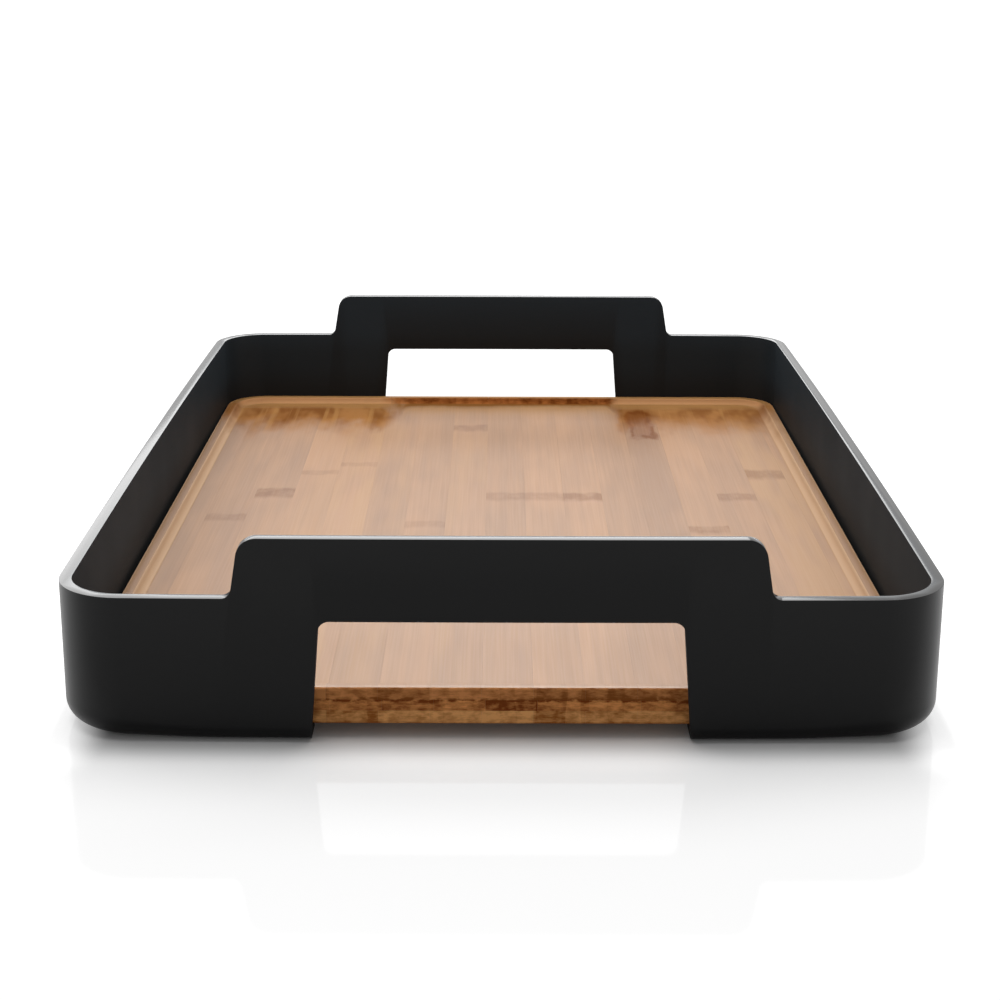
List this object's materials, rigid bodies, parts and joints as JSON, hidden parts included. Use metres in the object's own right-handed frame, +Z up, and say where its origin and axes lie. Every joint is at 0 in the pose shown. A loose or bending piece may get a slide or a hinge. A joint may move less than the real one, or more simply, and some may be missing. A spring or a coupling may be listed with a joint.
{
  "type": "serving tray",
  "caption": "Serving tray: a black moulded frame with a bridge handle over an open grip at each end, around a loose laminated bamboo board with a shallow recess.",
  "frame": {"origin": "on the table, under the middle of the tray", "axes": "+Z up, +Y along the tray from one handle to the other, +X across it"},
  "size_m": [0.35, 0.5, 0.083],
  "materials": {
    "frame_black": "satin black",
    "bamboo_top": "oiled satin",
    "bamboo_core": "oiled end grain",
    "bamboo_base": "oiled satin"
  },
  "bodies": {
    "frame": {"frame": "frame_black"},
    "board": {"top_strip_01": "bamboo_top", "top_strip_02": "bamboo_top", "top_strip_03": "bamboo_top", "top_strip_04": "bamboo_top", "top_strip_05": "bamboo_top", "top_strip_06": "bamboo_top", "top_strip_07": "bamboo_top", "top_strip_08": "bamboo_top", "top_strip_09": "bamboo_top", "top_strip_10": "bamboo_top", "top_strip_11": "bamboo_top", "top_strip_12": "bamboo_top", "top_strip_13": "bamboo_top", "top_strip_14": "bamboo_top", "top_strip_15": "bamboo_top", "top_strip_16": "bamboo_top", "top_strip_17": "bamboo_top", "core_strip_01": "bamboo_core", "core_strip_02": "bamboo_core", "core_strip_03": "bamboo_core", "core_strip_04": "bamboo_core", "core_strip_05": "bamboo_core", "core_strip_06": "bamboo_core", "core_strip_07": "bamboo_core", "core_strip_08": "bamboo_core", "core_strip_09": "bamboo_core", "core_strip_10": "bamboo_core", "core_strip_11": "bamboo_core", "core_strip_12": "bamboo_core", "core_strip_13": "bamboo_core", "core_strip_14": "bamboo_core", "core_strip_15": "bamboo_core", "core_strip_16": "bamboo_core", "core_strip_17": "bamboo_core", "base_strip_01": "bamboo_base", "base_strip_02": "bamboo_base", "base_strip_03": "bamboo_base", "base_strip_04": "bamboo_base", "base_strip_05": "bamboo_base", "base_strip_06": "bamboo_base", "base_strip_07": "bamboo_base", "base_strip_08": "bamboo_base", "base_strip_09": "bamboo_base", "base_strip_10": "bamboo_base", "base_strip_11": "bamboo_base", "base_strip_12": "bamboo_base", "base_strip_13": "bamboo_base", "base_strip_14": "bamboo_base", "base_strip_15": "bamboo_base", "base_strip_16": "bamboo_base", "base_strip_17": "bamboo_base"}
  },
  "joints": [
    {"name": "board_lift", "type": "slide", "parent": "frame", "child": "board", "axis": [0, 0, 1], "range_m": [0, 0.09]}
  ]
}
